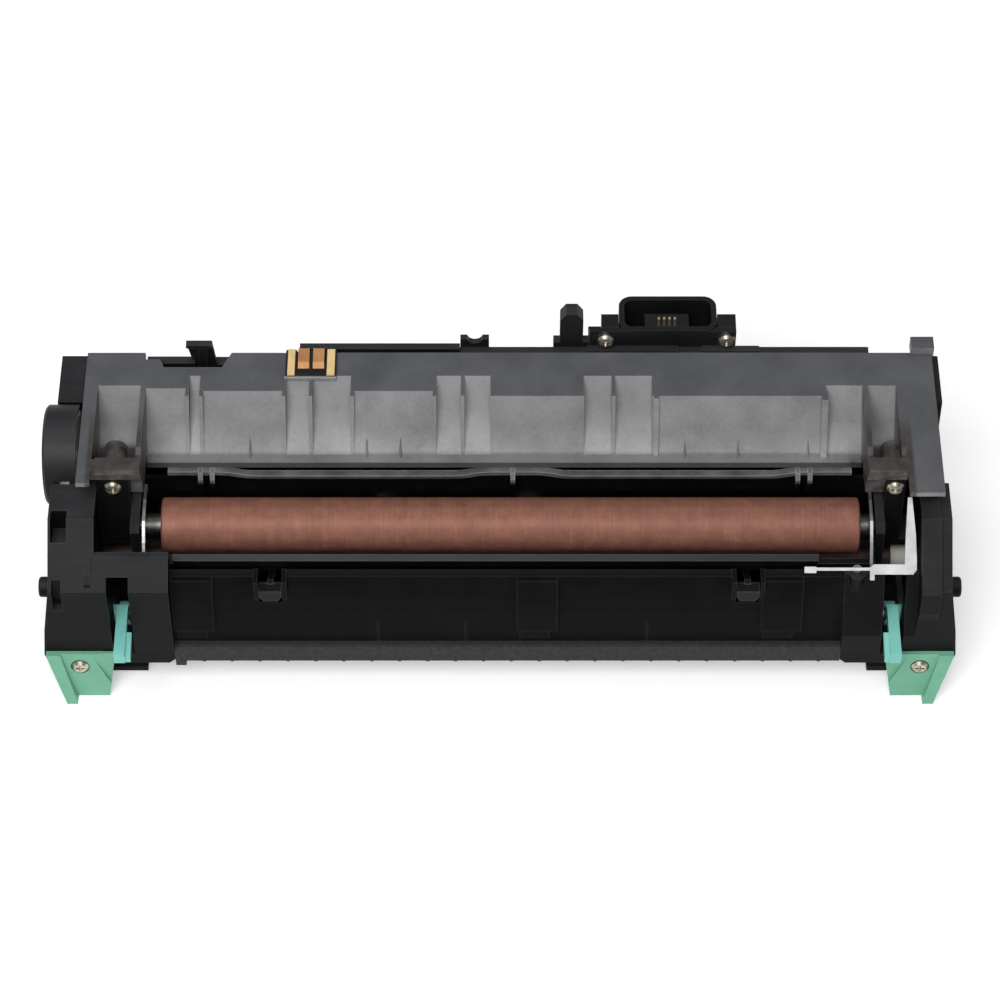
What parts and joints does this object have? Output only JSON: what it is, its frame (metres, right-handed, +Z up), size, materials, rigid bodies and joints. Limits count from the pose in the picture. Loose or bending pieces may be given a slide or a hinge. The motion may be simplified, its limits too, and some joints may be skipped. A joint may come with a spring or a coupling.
{
  "type": "fuser unit",
  "caption": "Fuser unit of a page printer: a rubber pressure roller over a heated roller in a black frame, with release levers, corner handles and a rear drawer connector.",
  "frame": {"origin": "middle of the footprint, on the floor the unit stands on", "axes": "+X along the rollers to the right end seen from the front, +Y to the back, +Z up"},
  "size_m": [0.3092, 0.1128, 0.093],
  "materials": {
    "body_black": "satin moulded plastic",
    "cover_grey": "satin moulded plastic",
    "guide_black": "gloss",
    "roller_rubber": "matte",
    "steel": "turned",
    "hot_sleeve": "coated",
    "bush_plastic": "matte",
    "gear_plastic": "matte",
    "lamp_glass": "clear",
    "lamp_ceramic": "matte",
    "lever_mint": "satin",
    "handle_mint": "satin",
    "spring_steel": "bright",
    "connector_black": "satin",
    "gold_contact": "bright",
    "copper_contact": "bright",
    "plate_tin": "bright",
    "screw_nickel": "bright"
  },
  "bodies": {
    "frame": {"base_frame": "body_black", "side_frame_left": "body_black", "side_frame_right": "body_black", "front_cover": "body_black", "top_cover": "cover_grey", "rear_cover": "body_black", "gear_cover": "body_black", "paper_guide": "guide_black", "lower_guide_bar": "body_black", "drive_pin": "steel", "pressure_bush_left": "bush_plastic", "pressure_bush_right": "bush_plastic", "heat_bush_left": "bush_plastic", "heat_bush_right": "bush_plastic", "halogen_lamp": "lamp_glass", "lamp_ends": "lamp_ceramic", "thermostat": "lamp_ceramic", "thermistor": "bush_plastic", "lever_pin_left": "steel", "lever_pin_right": "steel", "arm_pin_left": "steel", "arm_pin_right": "steel", "pressure_spring_left": "spring_steel", "pressure_spring_right": "spring_steel", "handle_left": "handle_mint", "handle_right": "handle_mint", "drawer_connector": "connector_black", "connector_pins": "gold_contact", "connector_bracket": "connector_black", "contact_block": "connector_black", "outer_contacts": "gold_contact", "inner_contacts": "copper_contact", "contact_strip": "plate_tin", "ground_plate": "plate_tin", "earth_clip_left": "spring_steel", "earth_clip_right": "spring_steel", "plate_screw": "plate_tin", "pan_screws": "screw_nickel"},
    "pressure_roller": {"pressure_roller_core": "steel", "pressure_roller_rubber": "roller_rubber"},
    "hot_roller": {"heat_roller_tube": "hot_sleeve", "heat_roller_gear": "gear_plastic"},
    "idler": {"drive_gear": "gear_plastic"},
    "lever_left": {"release_lever_left": "lever_mint"},
    "lever_right": {"release_lever_right": "lever_mint"},
    "arm_left": {"pressure_arm_left": "plate_tin"},
    "arm_right": {"pressure_arm_right": "plate_tin"},
    "claw_left": {"stripper_claw_left": "body_black"},
    "claw_right": {"stripper_claw_right": "body_black"}
  },
  "joints": [
    {"name": "hot_roller_spin", "type": "hinge", "parent": "frame", "child": "hot_roller", "pos_m": [0, -0.0115, 0.02847], "axis": [1, 0, 0], "continuous": true},
    {"name": "pressure_roller_spin", "type": "hinge", "parent": "frame", "child": "pressure_roller", "pos_m": [0, -0.0155, 0.05], "axis": [1, 0, 0], "continuous": true},
    {"name": "idler_spin", "type": "hinge", "parent": "frame", "child": "idler", "pos_m": [0, 0.0043, 0.06303], "axis": [1, 0, 0], "continuous": true},
    {"name": "release_lever_left_turn", "type": "hinge", "parent": "frame", "child": "lever_left", "pos_m": [-0.126, -0.0315, 0.023], "axis": [-1, 0, 0], "range_deg": [0, 25]},
    {"name": "pressure_arm_left_turn", "type": "hinge", "parent": "frame", "child": "arm_left", "pos_m": [-0.1313, 0.0125, 0.013], "axis": [1, 0, 0], "range_deg": [0, 3], "deforming": ["pressure_spring_left"]},
    {"name": "stripper_claw_left_turn", "type": "hinge", "parent": "frame", "child": "claw_left", "pos_m": [-0.076, -0.0367, 0.0448], "axis": [1, 0, 0], "range_deg": [0, 12], "stiffness_Nm_per_rad": 0.002, "springref_deg": -5.73},
    {"name": "release_lever_right_turn", "type": "hinge", "parent": "frame", "child": "lever_right", "pos_m": [0.131, -0.0315, 0.023], "axis": [-1, 0, 0], "range_deg": [0, 25]},
    {"name": "pressure_arm_right_turn", "type": "hinge", "parent": "frame", "child": "arm_right", "pos_m": [0.1363, 0.0125, 0.013], "axis": [1, 0, 0], "range_deg": [0, 3], "deforming": ["pressure_spring_right"]},
    {"name": "stripper_claw_right_turn", "type": "hinge", "parent": "frame", "child": "claw_right", "pos_m": [0.082, -0.0367, 0.0448], "axis": [1, 0, 0], "range_deg": [0, 12], "stiffness_Nm_per_rad": 0.002, "springref_deg": -5.73}
  ],
  "couplings": [
    {"joint": "pressure_roller_spin", "follows": "hot_roller_spin", "ratio": -1.3441},
    {"joint": "idler_spin", "follows": "hot_roller_spin", "ratio": -1.7143},
    {"joint": "pressure_arm_left_turn", "follows": "release_lever_left_turn", "ratio": 0.12},
    {"joint": "pressure_arm_right_turn", "follows": "release_lever_right_turn", "ratio": 0.12}
  ]
}
